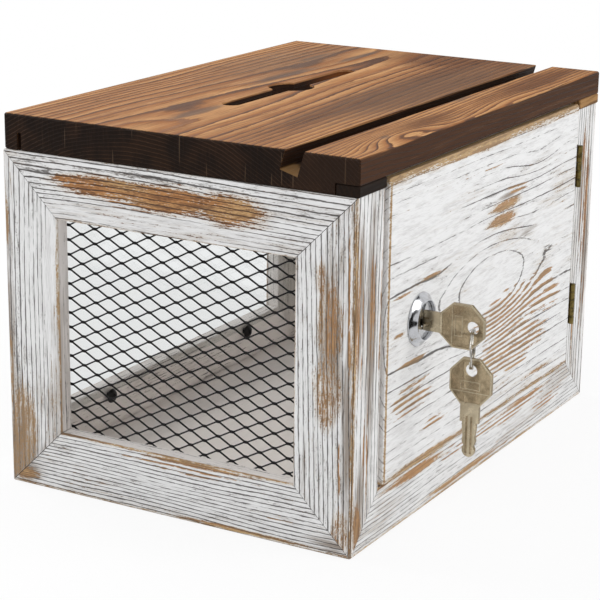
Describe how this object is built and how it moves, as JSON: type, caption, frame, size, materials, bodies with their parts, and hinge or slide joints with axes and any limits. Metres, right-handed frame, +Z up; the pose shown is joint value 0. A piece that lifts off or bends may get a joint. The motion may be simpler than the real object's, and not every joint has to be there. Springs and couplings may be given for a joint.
{
  "type": "ballot box",
  "caption": "Wooden ballot box: mitred pine frames, wire mesh ends, a clear side, a slotted lid with a coin hole and a sign groove, and a hinged door with a cam lock and keys on a ring.",
  "frame": {"origin": "centre of the underside of the base panel", "axes": "+Z up, -Y out of the locked door, +X towards the door's hinges, -X towards its lock; +Y out of the clear pane"},
  "size_m": [0.288, 0.2418, 0.194],
  "materials": {
    "whitewashed_pine": "brushed whitewash",
    "scorched_pine": "dark brown stain, matte",
    "brown_pine": "brown stain, matte",
    "clear_plastic": "clear",
    "black_mesh": "black coated",
    "black_steel": "black oxide",
    "staple_steel": "galvanised",
    "old_brass": "antiqued",
    "lock_chrome": "polished",
    "zinc_steel": "zinc plated",
    "key_metal": "nickel plated, worn"
  },
  "bodies": {
    "box_body": {"base_panel": "whitewashed_pine", "left_end_bottom_rail": "whitewashed_pine", "left_end_top_rail": "whitewashed_pine", "left_end_window_stile": "whitewashed_pine", "left_end_door_stile": "whitewashed_pine", "right_end_bottom_rail": "whitewashed_pine", "right_end_top_rail": "whitewashed_pine", "right_end_window_stile": "whitewashed_pine", "right_end_door_stile": "whitewashed_pine", "window_side_bottom_rail": "whitewashed_pine", "window_side_top_rail": "whitewashed_pine", "window_side_left_stile": "whitewashed_pine", "window_side_right_stile": "whitewashed_pine", "door_side_bottom_rail": "whitewashed_pine", "door_side_lock_stile": "whitewashed_pine", "door_side_hinge_stile": "whitewashed_pine", "lid_board": "scorched_pine", "lid_end_block_left": "brown_pine", "lid_end_block_right": "brown_pine", "left_end_mesh": "black_mesh", "right_end_mesh": "black_mesh", "left_end_bottom_staple": "staple_steel", "left_end_top_staple": "staple_steel", "left_end_first_side_staple": "staple_steel", "left_end_second_side_staple": "staple_steel", "right_end_bottom_staple": "staple_steel", "right_end_top_staple": "staple_steel", "right_end_first_side_staple": "staple_steel", "right_end_second_side_staple": "staple_steel", "pane_screw_left": "black_steel", "pane_screw_right": "black_steel", "upper_hinge_frame_leaf": "old_brass", "upper_hinge_frame_leaf_screw_low": "old_brass", "upper_hinge_frame_leaf_screw_high": "old_brass", "upper_hinge_pin": "old_brass", "lower_hinge_frame_leaf": "old_brass", "lower_hinge_frame_leaf_screw_low": "old_brass", "lower_hinge_frame_leaf_screw_high": "old_brass", "lower_hinge_pin": "old_brass"},
    "door": {"door_panel": "whitewashed_pine", "upper_hinge_door_leaf": "old_brass", "upper_hinge_door_leaf_screw_low": "old_brass", "upper_hinge_door_leaf_screw_high": "old_brass", "lower_hinge_door_leaf": "old_brass", "lower_hinge_door_leaf_screw_low": "old_brass", "lower_hinge_door_leaf_screw_high": "old_brass", "lock_housing": "lock_chrome", "lock_nut": "zinc_steel"},
    "lock_barrel": {"lock_plug": "lock_chrome", "lock_cam": "zinc_steel", "cam_screw": "zinc_steel"},
    "inserted_key": {"key": "key_metal"},
    "key_ring": {"split_ring": "lock_chrome"},
    "hanging_key": {"spare_key": "key_metal"},
    "pane": {"clear_pane": "clear_plastic"}
  },
  "joints": [
    {"name": "door_swing", "type": "hinge", "parent": "box_body", "child": "door", "pos_m": [0.1154, -0.1029, 0.10385], "axis": [0, 0, 1], "range_deg": [0, 178]},
    {"name": "lock_turn", "type": "hinge", "parent": "door", "child": "lock_barrel", "pos_m": [-0.0807, -0.102, 0.10385], "axis": [0, -1, 0], "range_deg": [0, 90]},
    {"name": "key_slide", "type": "slide", "parent": "lock_barrel", "child": "inserted_key", "axis": [0, -1, 0], "range_m": [0, 0.02]},
    {"name": "ring_swing", "type": "hinge", "parent": "inserted_key", "child": "key_ring", "pos_m": [-0.0807, -0.1306, 0.10225], "axis": [1, 0, 0], "range_deg": [-40, 12]},
    {"name": "spare_key_swing", "type": "hinge", "parent": "key_ring", "child": "hanging_key", "pos_m": [-0.0807, -0.1306, 0.08405], "axis": [1, 0, 0], "range_deg": [-40, 12]},
    {"name": "pane_lift", "type": "slide", "parent": "box_body", "child": "pane", "axis": [0, 0, 1], "range_m": [0, 0.0035]}
  ]
}
